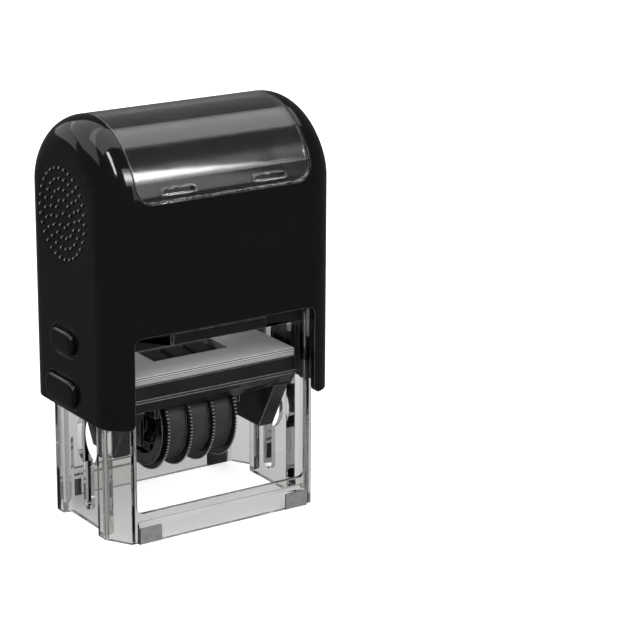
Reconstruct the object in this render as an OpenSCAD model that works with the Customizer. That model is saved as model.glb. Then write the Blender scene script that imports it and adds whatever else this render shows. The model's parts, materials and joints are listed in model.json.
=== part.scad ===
// Self-inking date stamp, shown in its carrying position with the die clear of the pad.
// Millimetres, +Z up, front towards -Y. The origin is the centre of the footprint on the table.

/* [Die] */
// Width of the text plate
die_w = 50; // [44:1:60]
// Depth of the text plate
die_d = 30; // [28:1:36]
// Thickness of the white text plate
plate_t = 1.1; // [0.8:0.1:1.6]
// Thickness of the cushion under the text plate
cushion_t = 0.9; // [0.6:0.1:1.4]
// Width of the date opening in the text plate
date_w = 22.4; // [21.4:0.2:24]
// Height of the printing face over the axle
face_h = 6; // [5.8:0.1:6.6]

/* [Mechanism] */
// Height of the axle over the table in the carrying position
axle_z = 36.6; // [35.6:0.2:40]
// Diameter of the axle
axle_d = 3.7; // [3:0.1:4]
// Height of the ink pad over the printing face
pad_gap = 7.4; // [6:0.2:9]
// Running clearance of a pin in its bore or slot, on each side
run_clear = 0.1; // [0.05:0.05:0.15]
// Clearance between pieces that pass each other
pass_clear = 0.3; // [0.25:0.05:0.4]
// Travel of the lock buttons
lock_travel = 1.2; // [0.6:0.1:1.3]

/* [Date wheels] */
// Radius of the toothed rims over the teeth
rim_r = 13.4; // [12.4:0.1:14]
// Thickness of a toothed rim
rim_t = 1.2; // [0.8:0.1:1.6]
// Height of the teeth
tooth_h = 0.5; // [0.3:0.1:0.8]
// Teeth on each rim
tooth_count = 72; // [48:4:90]
// Spacing of the wheels along their shaft
wheel_pitch = 6.8; // [6.4:0.1:7]
// Clearance of the toothed rims under the platen
rim_clear = 0.3; // [0.3:0.05:0.6]
// Left face of the first rim
wheels_x = -12.6; // [-13:0.1:-12]
// Diameter of the wheel shaft
shaft_d = 3; // [2.4:0.1:3.4]
// Depth of the bands below the tips of the teeth
band_drop = 2; // [1.6:0.1:2.6]
// Thickness of the rubber bands
band_t = 0.9; // [0.7:0.1:1.1]

/* [Base] */
// Thickness of the side walls
side_t = 2.9; // [2.2:0.1:3.2]
// Thickness of the front and back walls
front_t = 1.2; // [1:0.1:1.6]
// How far the corner posts stand out from the side walls
post_proud = 2.2; // [1.8:0.1:2.6]
// Half width of the flat between the corner posts
post_y = 9.2; // [8.9:0.1:10]
// Height of the print opening's rails
rail_h = 7.8; // [6.6:0.1:8.2]
// Thickness of the deck over the ink cassette
deck_t = 2; // [1.4:0.1:3]
// Height of the ink cassette
cassette_h = 3.6; // [3:0.1:4.4]

/* [Cap] */
// Wall thickness of the cap
cap_wall = 1.8; // [1.4:0.1:2.2]
// Thickness of the crown under the clear window
roof_t = 3.4; // [2.8:0.1:4.5]
// Radius of the rounded ends and upright corners
end_r = 8; // [6.4:0.2:8]
// Rise of the arched top
arch_rise = 19.6; // [18.6:0.2:20.6]
// Radius of the arch's shoulders
shoulder_r = 16; // [16:0.2:17]
// Half width of the clear window
window_x = 25.5; // [20:0.1:25.8]
// Thickness of the clear window
window_t = 1.2; // [0.8:0.1:1.4]

/* [Return spring] */
// Mean diameter of the coil
coil_d = 14; // [10:0.5:18]
// Diameter of the wire
wire_d = 1.4; // [0.8:0.1:1.6]
// Number of turns
coil_turns = 9; // [6:1:9]

/* [Hidden] */
round_fn = 96;
small_fn = 48;
belly_fn = 720;
dish_fn = 720;
eps = 0.01;
cut = 1;

// Turning carrier
face_z = axle_z + face_h;
tray_top = face_z - plate_t - cushion_t;
tray_margin_x = 0.2;
tray_margin_y = 0.4;
tray_x = die_w / 2 + tray_margin_x;
tray_y = die_d / 2 + tray_margin_y;
tray_h = 8;
tray_wall = 1.6;
tray_foot_in = 1.8;
tray_foot_y = tray_y - tray_foot_in;
tray_foot_z = tray_top - tray_h;
belly_h = 1;
belly_x = 16;
belly_r = (belly_x * belly_x + belly_h * belly_h) / (2 * belly_h);
ridge_out = 0.8;
ridge_rise = 0.3;
ridge_flat = 0.7;
ridge_y = tray_y + ridge_out;
ridge_z = axle_z + ridge_rise;
tray_slope = (ridge_y - tray_foot_y) / (ridge_z - ridge_flat - tray_foot_z);
tray_low_y = tray_foot_y - belly_h * tray_slope;
tray_low_z = tray_foot_z - belly_h;
cheek_t = 4.5;
cheek_in = 1;
cheek_drop = 17.8;
cheek_x = tray_x - cheek_in;
cheek_foot_y = 6;
cheek_foot_z = axle_z - cheek_drop;
peg_r = 1.5;
peg_y = 3.8;
peg_gap = 0.4;

// Date wheels, bands and their frame
wheel_count = 3;
platen_y = 2.8;
platen_r = 1.1;
platen_gap = 0.1;
tenon_clear = 0.1;
band_nose_r = platen_r + platen_gap + band_t;
band_sink = 0.3;
nose_z = face_z - band_sink - band_nose_r;
wheel_z = nose_z - platen_r - rim_clear - rim_r;
root_r = rim_r - tooth_h;
band_r = rim_r - band_drop;
drum_r = band_r - band_t - pass_clear;
drum_w = wheel_pitch - rim_t;
band_w = drum_w - 2 * pass_clear;
lip_drop = 0.9;
lip_r = root_r - lip_drop;
lip_t = 1;
lug_count = 6;
lug_w = 5.4;
lug_t = 2.2;
lug_gap = 0.7;
lug_sink = 0.4;
lug_r = drum_r - rim_t - lug_gap;
wheels_end = wheels_x + wheel_count * wheel_pitch + rim_t;
hub_wall = 2.4;
hub_r = shaft_d / 2 + hub_wall;
arm_t = 1.2;
arm_gap = 0.4;
arm_left_x = wheels_x - lip_t - arm_gap - arm_t;
arm_right_x = wheels_end + arm_gap + arm_t;
arm_foot_y = 3.1;
arm_drop = 6.2;
arm_foot_z = wheel_z - arm_drop;
arm_head_y = 11;
arm_head_drop = 3.4;
clip_t = 0.8;
clip_wall = 1.3;
clip_r = shaft_d / 2 + clip_wall;
shaft_end = 0.6;
date_y = platen_y + band_nose_r + pass_clear;
date_x = -0.6;

// Tangent of a band between its wheel and the nose of the platen
nose_dz = nose_z - wheel_z;
nose_run = sqrt(platen_y * platen_y + nose_dz * nose_dz);
tangent_a = atan2(nose_dz, platen_y) - acos((band_r - band_nose_r) / nose_run);
rim_rise = tray_low_z - wheel_z;
well_y = sqrt(rim_r * rim_r - rim_rise * rim_rise) + pass_clear;

// Base
tray_clear_x = 1.2;
tray_clear_y = 2.3;
inner_x = tray_x + tray_clear_x;
side_x = inner_x + side_t;
post_x = side_x + post_proud;
inner_y = ridge_y + tray_clear_y;
front_y = inner_y + front_t;
post_run = 3.7;
post_flat_y = post_y + post_run;
post_wall = 2;
post_step = 0.5;
post_corner = 1.6;
post_front_in = 1;
post_front_x = inner_x + post_front_in;
rail_proud = 0.9;
rail_y = front_y + rail_proud;
rail_face_h = 5.1;
rail_slope = [0.7, 0.8];
opening_margin = 0.5;
opening_x = tray_x + opening_margin;
opening_r = 2;
pad_z = face_z + pad_gap;
pad_drop = 0.6;
cassette_z = pad_z + pad_drop;
cassette_top = cassette_z + cassette_h;
deck_clear = 0.4;
deck_z = cassette_top + deck_clear;
deck_top = deck_z + deck_t;
parapet_h = 0.5;
base_top = deck_top + parapet_h;
ledge_x = 0.8;
ledge_h = 1.3;
slot_w = axle_d + 2 * run_clear;
slot_z = face_h - run_clear - pass_clear;
slot_rise = 1;
slot_top_z = axle_z + pad_gap + slot_rise;
cam_y = peg_y + peg_r + peg_gap;
cam_drop = 14.2;
cam_z = axle_z - cam_drop;
cam_r = 7;
foot_w = 6.3;
foot_h = 4.2;
foot_in = 0.4;
foot_x = opening_x - foot_in - foot_w;

// Ink cassette
cassette_back = 0.9;
cassette_x = inner_x - pass_clear;
cassette_y = inner_y - cassette_back;
grip_x = 14;
grip_y = 1.3;
grip_drop = 0.4;
pad_margin = 0.8;
pad_x = inner_x - ledge_x - pad_margin / 2;
pad_y = die_d / 2 + pad_margin;
pad_t = 3;

// Cap
stroke = axle_z - face_h;
table_clear = 1;
cap_z = stroke + table_clear;
cavity_top = base_top + stroke + pass_clear;
arch_gap = 0.8;
arch_z = cavity_top + arch_gap;
cap_top = arch_z + arch_rise;
cap_clear_x = 0.7;
cap_clear_y = 0.5;
cap_x = post_x + cap_clear_x + cap_wall;
cap_y = front_y + cap_clear_y + cap_wall;
shoulder_y = cap_y - shoulder_r;
arch_run = cap_y * cap_y + arch_rise * arch_rise - 2 * cap_y * shoulder_r;
crown_r = arch_run / (2 * (arch_rise - shoulder_r));
crown_z = cap_top - crown_r;
crown_a = atan2(shoulder_y, arch_z - crown_z);
arch_steps = 36;
window_steps = 72;
end_steps = 8;
vault_in = 1;
vault_end = 3;
vault_r = cap_y - cap_wall - vault_in;
view_margin = 1.2;
view_x = opening_x + view_margin;
view_top = cassette_top + view_margin;
view_r = 2;
pillar_r = 2;
pillar_sink = 0.1;
window_rise = 0.7;
window_z = arch_z + window_rise;
window_r = 4.5;
window_clear = 0.2;
pry_x = 13.3;
pry_w = 9.3;
pry_h = 1.2;
pry_rise = 2.4;
finger_r = 14.4;
finger_y = 1.35;
finger_drop = 5.1;
finger_z = arch_z - finger_drop;
finger_depth = 0.6;
dish_r = (finger_r * finger_r + finger_depth * finger_depth) / (2 * finger_depth);
button_proud = 1.5;
button_step = 0.6;
clip_face = [15.7, 7.2];
clip_y = 3.3;
clip_rim = 0.8;
clip_depth = 0.6;
lock_face = [11.6, 6];
lock_y = 1.8;
lock_rise = 13.6;
lock_z = axle_z + lock_rise;
lock_rim = 1.2;
lock_depth = 0.5;
lock_clear = 0.2;
lock_flange = 0.8;
lock_flange_x = cap_x - cap_wall - pass_clear;
lock_flange_t = lock_flange_x - side_x - pass_clear - lock_travel;

// Return spring
seat_h = 2.4;
seat_top = cap_top - roof_t - seat_h;
seat_margin = 0.8;
seat_r = coil_d / 2 + wire_d / 2 + seat_margin;
cup_h = 3;
cup_t = 1.2;
spring_gap = 0.15;
spring_low = deck_top + wire_d / 2 + spring_gap;
spring_high = seat_top - wire_d / 2 - spring_gap;
rings_per_turn = 8;
wire_sides = 6;
coil_rings = coil_turns * rings_per_turn;

// Draws a profile given in Y and Z along X
module along_x(x0, x1) {
  translate([x0, 0, 0]) rotate([90, 0, 90]) linear_extrude(height = x1 - x0) children();
}

// Draws a profile given in X and Z along Y
module along_y(y0, y1) {
  translate([0, y1, 0]) rotate([90, 0, 0]) linear_extrude(height = y1 - y0) children();
}

module pin_x(x0, x1, r) {
  translate([x0, 0, 0]) rotate([0, 90, 0]) cylinder(h = x1 - x0, r = r, $fn = small_fn);
}

module both_sides() {
  children();
  mirror([1, 0, 0]) children();
}

module front_and_back() {
  children();
  mirror([0, 1, 0]) children();
}

module box(x, y, z0, z1) {
  translate([-x, -y, z0]) cube([2 * x, 2 * y, z1 - z0]);
}

// Long hole or button face with round ends
module stadium(size) {
  wide = size[0] > size[1];
  d = min(size[0], size[1]);
  run = wide ? [size[0] - d, 0] : [0, size[1] - d];
  square(wide ? [run[0], d] : [d, run[1]], center = true);
  for (s = [-1, 1]) translate(s * run / 2) circle(d = d, $fn = small_fn);
}

// Upright rectangle in X and Z with rounded corners
module round_gate(x, z0, z1, r) {
  translate([-x + r, z0]) square([2 * (x - r), z1 - z0]);
  translate([-x, z0 + r]) square([2 * x, z1 - z0 - 2 * r]);
  for (sx = [-1, 1], z = [z0 + r, z1 - r])
    translate([sx * (x - r), z]) circle(r = r, $fn = small_fn);
}

// Mirrors one quarter of a plan, listed from the X axis to the Y axis, into a closed outline
function four_way(q) = let (n = len(q)) concat(
  q,
  [for (i = [n - 1:-1:0]) [-q[i][0], q[i][1]]],
  [for (p = q) [-p[0], -p[1]]],
  [for (i = [n - 1:-1:0]) [q[i][0], -q[i][1]]]
);

// Base of clear plastic: side walls with cam slots, corner posts, rails and deck
base_outline = four_way([
  [side_x, post_y - post_step / 2], [post_x, post_y + post_step / 2],
  [post_x, post_flat_y], [post_front_x, front_y]
]);
base_inside = four_way([
  [inner_x, post_y], [post_x - post_wall, post_y + post_corner],
  [post_x - post_wall, post_flat_y - post_step], [inner_x - post_step, inner_y]
]);

module base_walls() {
  difference() {
    linear_extrude(height = base_top) polygon(base_outline);
    translate([0, 0, -cut]) linear_extrude(height = base_top + 2 * cut) polygon(base_inside);
    along_y(-front_y - cut, front_y + cut) round_gate(opening_x, rail_h, deck_z, opening_r);
  }
}

module rail() {
  along_x(-opening_x, opening_x) polygon([
    [front_y - eps, 0], [rail_y, 0], [rail_y, rail_face_h],
    [rail_y - rail_slope[0], rail_face_h + rail_slope[1]], [front_y - eps, rail_face_h + rail_slope[1]]
  ]);
}

// Slot for the axle, with a lobe to each side where the flip pegs swing past
module cam_slot() {
  along_x(inner_x - cut, side_x + cut) {
    translate([0, slot_z]) circle(d = slot_w, $fn = small_fn);
    translate([0, slot_top_z]) circle(d = slot_w, $fn = small_fn);
    translate([-slot_w / 2, slot_z]) square([slot_w, slot_top_z - slot_z]);
    intersection() {
      translate([cam_y - cam_r, cam_z]) circle(r = cam_r, $fn = round_fn);
      translate([cam_r - cam_y, cam_z]) circle(r = cam_r, $fn = round_fn);
    }
  }
}

module deck() {
  difference() {
    box(inner_x + side_t / 2, inner_y + front_t / 2, deck_z, deck_top);
    front_and_back() both_sides() translate([inner_x, post_y, deck_z - cut])
      cube([side_t, inner_y, deck_t + 2 * cut]);
  }
  translate([0, 0, deck_top - eps]) difference() {
    cylinder(h = cup_h, r = seat_r + cup_t, $fn = round_fn);
    translate([0, 0, eps]) cylinder(h = cup_h + cut, r = seat_r, $fn = round_fn);
  }
}

module ledge() {
  translate([inner_x - ledge_x, -post_y, cassette_z - ledge_h])
    cube([ledge_x + eps, 2 * post_y, ledge_h]);
}

module foot_block(y1, z0) {
  translate([foot_x, front_y, z0]) cube([foot_w, y1 - front_y, foot_h - z0]);
}

module base_frame() {
  color([0.86, 0.87, 0.86, 0.45]) difference() {
    union() {
      base_walls();
      front_and_back() rail();
      deck();
      both_sides() ledge();
    }
    both_sides() cam_slot();
    front_and_back() both_sides() foot_block(rail_y + cut, -cut);
  }
}

module foot_pads() {
  color("dimgray") front_and_back() both_sides() foot_block(rail_y, 0);
}

module ink_cassette() {
  color([0.1, 0.1, 0.1]) difference() {
    union() {
      box(cassette_x, cassette_y, cassette_z, cassette_top);
      box(grip_x, cassette_y + grip_y, cassette_z + grip_drop, cassette_top);
    }
    box(pad_x, pad_y, cassette_z - cut, pad_z + pad_t);
  }
}

module ink_pad() {
  color([0.16, 0.16, 0.19]) box(pad_x, pad_y, pad_z, pad_z + pad_t);
}

// Three-centred arch in Y and Z, from the back over the crown to the front
function arch_point(a, inset) =
  abs(a) <= crown_a
    ? [0, crown_z] + (crown_r - inset) * [sin(a), cos(a)]
    : [sign(a) * shoulder_y, arch_z] + (shoulder_r - inset) * [sin(a), cos(a)];
function arch_outline(inset, z0, steps) = concat(
  [[cap_y - inset, z0]],
  [for (i = [0:steps]) arch_point(90 - 180 * i / steps, inset)],
  [[inset - cap_y, z0]]
);

// Cap form: arched sections along X, drawn in towards each end on a quarter round
end_turns = [for (i = [0:end_steps]) 90 * i / end_steps];
cap_sections = concat(
  [for (i = [end_steps:-1:0]) [-1, end_turns[i]]],
  [for (i = [0:end_steps]) [1, end_turns[i]]]
);
cap_rings = [
  for (s = cap_sections) let (
    x = s[0] * (cap_x - end_r + end_r * sin(s[1])),
    inset = end_r * (1 - cos(s[1]))
  )
    [for (p = arch_outline(inset, cap_z, arch_steps)) [x, p[0], p[1]]]
];

// Faces of a tube of rings, wound outwards, with a flat fan at each end
function tube_faces(n, m) = concat(
  [
    for (i = [0:n - 2], k = [0:m - 1]) let (a = i * m + k, b = i * m + (k + 1) % m)
      each [[a, a + m, b], [b, a + m, b + m]]
  ],
  [for (k = [1:m - 2]) each [[0, k, k + 1], [(n - 1) * m, (n - 1) * m + k + 1, (n - 1) * m + k]]]
);

module ring_tube(rings) {
  polyhedron(points = [for (r = rings) each r], faces = tube_faces(len(rings), len(rings[0])));
}

module corner_box(x, y, r, z0, z1) {
  box(x - r, y, z0, z1);
  box(x, y - r, z0, z1);
  for (sx = [-1, 1], sy = [-1, 1])
    translate([sx * (x - r), sy * (y - r), z0]) cylinder(h = z1 - z0, r = r, $fn = round_fn);
}

module cap_cavity() {
  vault_x = cap_x - cap_wall - vault_end;
  corner_box(cap_x - cap_wall, cap_y - cap_wall, end_r - cap_wall, cap_z - cut, cavity_top);
  translate([0, 0, cap_top - roof_t - vault_r]) rotate([0, 90, 0])
    cylinder(h = 2 * vault_x, r = vault_r, center = true, $fn = round_fn);
}

// Outline of the clear window seen from the front
module window_gate(clear) {
  round_gate(window_x + clear, window_z - clear, cap_top + 2 * window_r, window_r + clear);
}

module window_shell(inset, clear) {
  intersection() {
    along_x(-window_x - clear, window_x + clear) difference() {
      polygon(arch_outline(-clear, window_z - cut, window_steps));
      polygon(arch_outline(inset, window_z - 2 * cut, window_steps));
    }
    along_y(-2 * cap_y, 2 * cap_y) window_gate(clear);
  }
}

// Front opening between the pillars, flared round at the foot
module view_gate() {
  difference() {
    union() {
      round_gate(view_x, cap_z - view_r - cut, view_top, view_r);
      translate([-view_x - pillar_r, cap_z - cut]) square([2 * (view_x + pillar_r), pillar_r + cut]);
    }
    for (s = [-1, 1]) translate([s * (view_x + pillar_r), cap_z + pillar_r - pillar_sink])
      circle(r = pillar_r, $fn = small_fn);
  }
}

// Places a button outline, given in Y and Z, on the left side, and again turned on the right
module on_side(side, y, z, x0, x1) {
  rotate([0, 0, side == "left" ? 180 : 0]) along_x(x0, x1) translate([-y, z]) children();
}

// Shallow round dish for a finger, a slice of a large sphere
module finger_dish(side) {
  rotate([0, 0, side == "left" ? 180 : 0]) translate([cap_x - finger_depth, -finger_y, finger_z])
    rotate([0, 90, 0]) rotate_extrude($fn = round_fn) intersection() {
      translate([0, dish_r]) circle(r = dish_r, $fn = dish_fn);
      square([finger_r + cut, finger_depth + cut]);
    }
}

module cap_shell() {
  color([0.05, 0.05, 0.06]) difference() {
    union() {
      difference() {
        ring_tube(cap_rings);
        cap_cavity();
      }
      translate([0, 0, seat_top])
        cylinder(h = cap_top - roof_t / 2 - seat_top, r = seat_r, $fn = round_fn);
    }
    window_shell(window_t + window_clear, window_clear);
    along_y(-cap_y - cut, cap_y + cut) view_gate();
    both_sides() pin_at_axle(cap_x - 2 * cap_wall, cap_x + cut, axle_d / 2 + run_clear / 2);
    for (side = ["left", "right"]) {
      finger_dish(side);
      on_side(side, clip_y, axle_z, cap_x - clip_depth, cap_x + cut)
        stadium(clip_face + [2, 2] * clip_rim);
      on_side(side, lock_y, lock_z, cap_x - lock_depth, cap_x + cut)
        stadium(lock_face + [2, 2] * lock_rim);
      on_side(side, lock_y, lock_z, cap_x - 2 * cap_wall, cap_x + cut)
        stadium(lock_face + [2, 2] * lock_clear);
    }
  }
}

module pin_at_axle(x0, x1, r) {
  translate([0, 0, axle_z]) pin_x(x0, x1, r);
}

module stub_axle() {
  color("silver") pin_at_axle(cheek_x - cheek_t, cap_x - clip_depth, axle_d / 2);
}

module axle_left() {
  mirror([1, 0, 0]) stub_axle();
}

module axle_right() {
  stub_axle();
}

// Button face with a lower step round its edge
module button(side, y, z, x0, face) {
  on_side(side, y, z, x0, cap_x + button_proud - button_step) stadium(face);
  on_side(side, y, z, cap_x, cap_x + button_proud) stadium(face - [2, 2] * button_step);
}

module axle_clip(side) {
  color([0.04, 0.04, 0.05]) button(side, clip_y, axle_z, cap_x - clip_depth, clip_face);
}

module axle_clip_left() {
  axle_clip("left");
}

module axle_clip_right() {
  axle_clip("right");
}

module lock_button(side) {
  color([0.04, 0.04, 0.05]) {
    button(side, lock_y, lock_z, lock_flange_x - eps, lock_face);
    on_side(side, lock_y, lock_z, lock_flange_x - lock_flange_t, lock_flange_x)
      stadium(lock_face + [2, 2] * lock_flange);
  }
}

module lock_button_left() {
  lock_button("left");
}

module lock_button_right() {
  lock_button("right");
}

// Clear window over the crown, with pry slots along its front and back edges
module index_window() {
  color([0.25, 0.25, 0.27, 0.6]) difference() {
    window_shell(window_t, 0);
    for (s = [-1, 1]) translate([s * pry_x, 0, window_z + pry_rise])
      along_y(-cap_y - cut, cap_y + cut) stadium([pry_w, pry_h]);
  }
}

// Return spring: a tube swept along a helix, with straight ends
function coil_angle(i) = 360 * i / rings_per_turn;
function coil_point(i) = let (a = coil_angle(i)) [
  coil_d / 2 * cos(a), coil_d / 2 * sin(a),
  spring_low + (spring_high - spring_low) * i / coil_rings
];
function coil_along(i) = let (a = coil_angle(i), v = [
  -coil_d / 2 * sin(a), coil_d / 2 * cos(a), (spring_high - spring_low) / (coil_turns * 2 * PI)
]) v / norm(v);
function coil_ring(centre, i) = let (
  a = coil_angle(i),
  out = [cos(a), sin(a), 0],
  up = cross(out, coil_along(i))
) [
  for (k = [0:wire_sides - 1]) let (b = 360 * k / wire_sides)
    centre + wire_d / 2 * (cos(b) * out + sin(b) * up)
];
coil_centres = [for (i = [0:coil_rings]) coil_point(i)];
wire_rings = concat(
  [coil_ring(coil_point(0) - wire_d * coil_along(0), 0)],
  [for (i = [0:coil_rings]) coil_ring(coil_point(i), i)],
  [coil_ring(coil_point(coil_rings) + wire_d * coil_along(coil_rings), coil_rings)]
);
coil_gap = min([
  for (i = [0:coil_rings - rings_per_turn / 2], j = [i + rings_per_turn / 2:coil_rings])
    norm(coil_centres[i] - coil_centres[j])
]) - wire_d;
echo(least_gap_between_turns = coil_gap);

module return_spring() {
  color("silver") ring_tube(wire_rings);
}

// Turning carrier: an open tray for the die, with a tapered cheek at each end
tray_outline = [
  [tray_y, tray_top], [ridge_y, ridge_z], [ridge_y, ridge_z - ridge_flat], [tray_low_y, tray_low_z],
  [-tray_low_y, tray_low_z], [-ridge_y, ridge_z - ridge_flat], [-ridge_y, ridge_z], [-tray_y, tray_top]
];
tray_inside = [
  [tray_y - tray_wall, tray_top - tray_wall], [ridge_y - tray_wall, ridge_z - ridge_flat / 2],
  [tray_low_y - tray_wall, tray_low_z - eps], [-tray_low_y + tray_wall, tray_low_z - eps],
  [-ridge_y + tray_wall, ridge_z - ridge_flat / 2], [-tray_y + tray_wall, tray_top - tray_wall]
];
cheek_outline = [
  [tray_foot_y - tray_wall / 2, tray_top - tray_wall / 2], [tray_foot_y - eps, tray_foot_z],
  [cheek_foot_y, cheek_foot_z], [-cheek_foot_y, cheek_foot_z],
  [-tray_foot_y + eps, tray_foot_z], [-tray_foot_y + tray_wall / 2, tray_top - tray_wall / 2]
];

// Space under the tray, whose lower edge hangs down in a shallow arc in front of the wheels
module under_tray() {
  along_y(-ridge_y - cut, ridge_y + cut) difference() {
    translate([-tray_x - cut, tray_low_z - cut]) square([2 * (tray_x + cut), belly_h + cut]);
    translate([0, tray_low_z + belly_r]) circle(r = belly_r, $fn = belly_fn);
  }
}

module tray() {
  difference() {
    union() {
      difference() {
        along_x(-tray_x, tray_x) polygon(tray_outline);
        along_x(-tray_x + tray_wall, tray_x - tray_wall) polygon(tray_inside);
      }
      along_x(arm_left_x - tray_wall, arm_left_x) polygon(tray_outline);
      along_x(arm_right_x, arm_right_x + tray_wall) polygon(tray_outline);
    }
    under_tray();
  }
}

module carrier() {
  color([0.07, 0.07, 0.08]) difference() {
    union() {
      tray();
      both_sides() {
        along_x(cheek_x - cheek_t, cheek_x) polygon(cheek_outline);
        for (s = [-1, 1]) translate([0, s * peg_y, axle_z])
          pin_x(tray_x - tray_wall, inner_x - peg_gap, peg_r);
      }
    }
    translate([arm_left_x, -well_y, tray_low_z - cut])
      cube([arm_right_x - arm_left_x, 2 * well_y, belly_h + tray_h + 2 * cut]);
    both_sides() pin_at_axle(cheek_x - cheek_t - cut, tray_x + cut, axle_d / 2 + run_clear);
  }
}

module die_layer(z0, z1) {
  difference() {
    box(die_w / 2, die_d / 2, z0, z1);
    translate([date_x, 0, 0]) box(date_w / 2, date_y, z0 - cut, z1 + cut);
  }
}

module die_cushion() {
  color("lightgray") die_layer(tray_top, tray_top + cushion_t);
}

module die_plate() {
  color("white") die_layer(tray_top + cushion_t, face_z);
}

// Frame that carries the wheel shaft and the platen inside the carrier
module frame_arm(x0) {
  difference() {
    along_x(x0, x0 + arm_t) {
      translate([-arm_foot_y, arm_foot_z]) square([2 * arm_foot_y, tray_top - arm_foot_z]);
      translate([-arm_head_y, tray_foot_z - arm_head_drop])
        square([2 * arm_head_y, tray_h + arm_head_drop]);
    }
    translate([0, 0, wheel_z]) pin_x(x0 - cut, x0 + arm_t + cut, shaft_d / 2 + run_clear / 2);
  }
}

module band_frame() {
  color([0.1, 0.1, 0.11]) {
    frame_arm(arm_left_x);
    frame_arm(arm_right_x - arm_t);
  }
}

// Platen: a rounded nose under the bands, held by a flat tenon at each arm
module platen() {
  nose_x0 = wheels_x + rim_t;
  nose_x1 = wheels_end - rim_t;
  color([0.15, 0.15, 0.16]) {
    along_x(nose_x0, nose_x1) translate([0, nose_z]) stadium([2 * (platen_y + platen_r), 2 * platen_r]);
    along_x(arm_left_x + arm_t, arm_right_x - arm_t)
      translate([-platen_y, nose_z - platen_r])
        square([2 * platen_y, tray_top - tenon_clear - nose_z + platen_r]);
  }
}

module wheel_shaft() {
  color("silver") translate([0, 0, wheel_z])
    pin_x(arm_left_x - clip_t - shaft_end, arm_right_x + clip_t + shaft_end, shaft_d / 2);
}

module shaft_clip(x0) {
  translate([0, 0, wheel_z]) difference() {
    pin_x(x0, x0 + clip_t, clip_r);
    pin_x(x0 - cut, x0 + clip_t + cut, shaft_d / 2 + run_clear / 2);
  }
}

module shaft_clips() {
  color("gray") {
    shaft_clip(arm_left_x - clip_t);
    shaft_clip(arm_right_x);
  }
}

// Loop of a rubber band over its wheel and the nose of the platen
module band_loop(inset) {
  r = band_r - inset;
  nose = band_nose_r - inset;
  tangent = [cos(tangent_a), sin(tangent_a)];
  translate([0, wheel_z]) circle(r = r, $fn = 2 * round_fn);
  for (s = [-1, 1]) translate([s * platen_y, nose_z]) circle(r = nose, $fn = small_fn);
  polygon([
    [r * tangent[0], wheel_z + r * tangent[1]],
    [platen_y + nose * tangent[0], nose_z + nose * tangent[1]],
    [platen_y, nose_z + nose], [-platen_y, nose_z + nose],
    [-platen_y - nose * tangent[0], nose_z + nose * tangent[1]],
    [-r * tangent[0], wheel_z + r * tangent[1]]
  ]);
}

module date_band(i) {
  x0 = wheels_x + i * wheel_pitch + rim_t + pass_clear;
  color([0.22, 0.22, 0.23]) along_x(x0, x0 + band_w) difference() {
    band_loop(0);
    band_loop(band_t);
  }
}

module day_band() {
  date_band(0);
}

module month_band() {
  date_band(1);
}

module year_band() {
  date_band(2);
}

// Toothed rim: each tooth is a flat-topped rib with a matching gap
module toothed_rim(x0) {
  step = 360 / tooth_count;
  shares = [0, 0.18, 0.5, 0.68];
  radii = [root_r, rim_r, rim_r, root_r];
  along_x(x0, x0 + rim_t) polygon([
    for (i = [0:tooth_count - 1], k = [0:3]) let (a = (i + shares[k]) * step) radii[k] * [cos(a), sin(a)]
  ]);
}

// Lugs round the hollow side of the first wheel
module wheel_lugs(x0) {
  for (k = [0:lug_count - 1]) rotate([360 * k / lug_count, 0, 0])
    translate([x0 + lug_sink, -lug_w / 2, -lug_r]) cube([drum_w, lug_w, lug_t]);
}

module date_wheel(i, first, last) {
  x0 = wheels_x + i * wheel_pitch;
  x1 = x0 + wheel_pitch - pass_clear;
  color([0.06, 0.06, 0.07]) translate([0, 0, wheel_z]) difference() {
    union() {
      toothed_rim(x0);
      pin_x(x0 + eps, last ? wheels_end - eps : x1, drum_r);
      if (first) pin_x(x0 - lip_t, x0 + eps, lip_r);
      if (last) toothed_rim(wheels_end - rim_t);
    }
    difference() {
      pin_x(x0 - lip_t - cut, x0 + drum_w / 2, drum_r - rim_t);
      pin_x(x0 - lip_t - 2 * cut, x0 + drum_w, hub_r);
      if (first) wheel_lugs(x0);
    }
    pin_x(x0 - lip_t - cut, wheels_end + cut, shaft_d / 2 + run_clear);
  }
}

module day_wheel() {
  date_wheel(0, true, false);
}

module month_wheel() {
  date_wheel(1, false, false);
}

module year_wheel() {
  date_wheel(2, false, true);
}

base_frame();
foot_pads();
ink_cassette();
ink_pad();
cap_shell();
axle_left();
axle_right();
axle_clip_left();
axle_clip_right();
return_spring();
index_window();
lock_button_left();
lock_button_right();
carrier();
die_cushion();
die_plate();
band_frame();
platen();
wheel_shaft();
shaft_clips();
day_band();
month_band();
year_band();
day_wheel();
month_wheel();
year_wheel();
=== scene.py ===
import json
import math

import bmesh
import bpy
import numpy as np
from mathutils import Matrix, Vector


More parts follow.
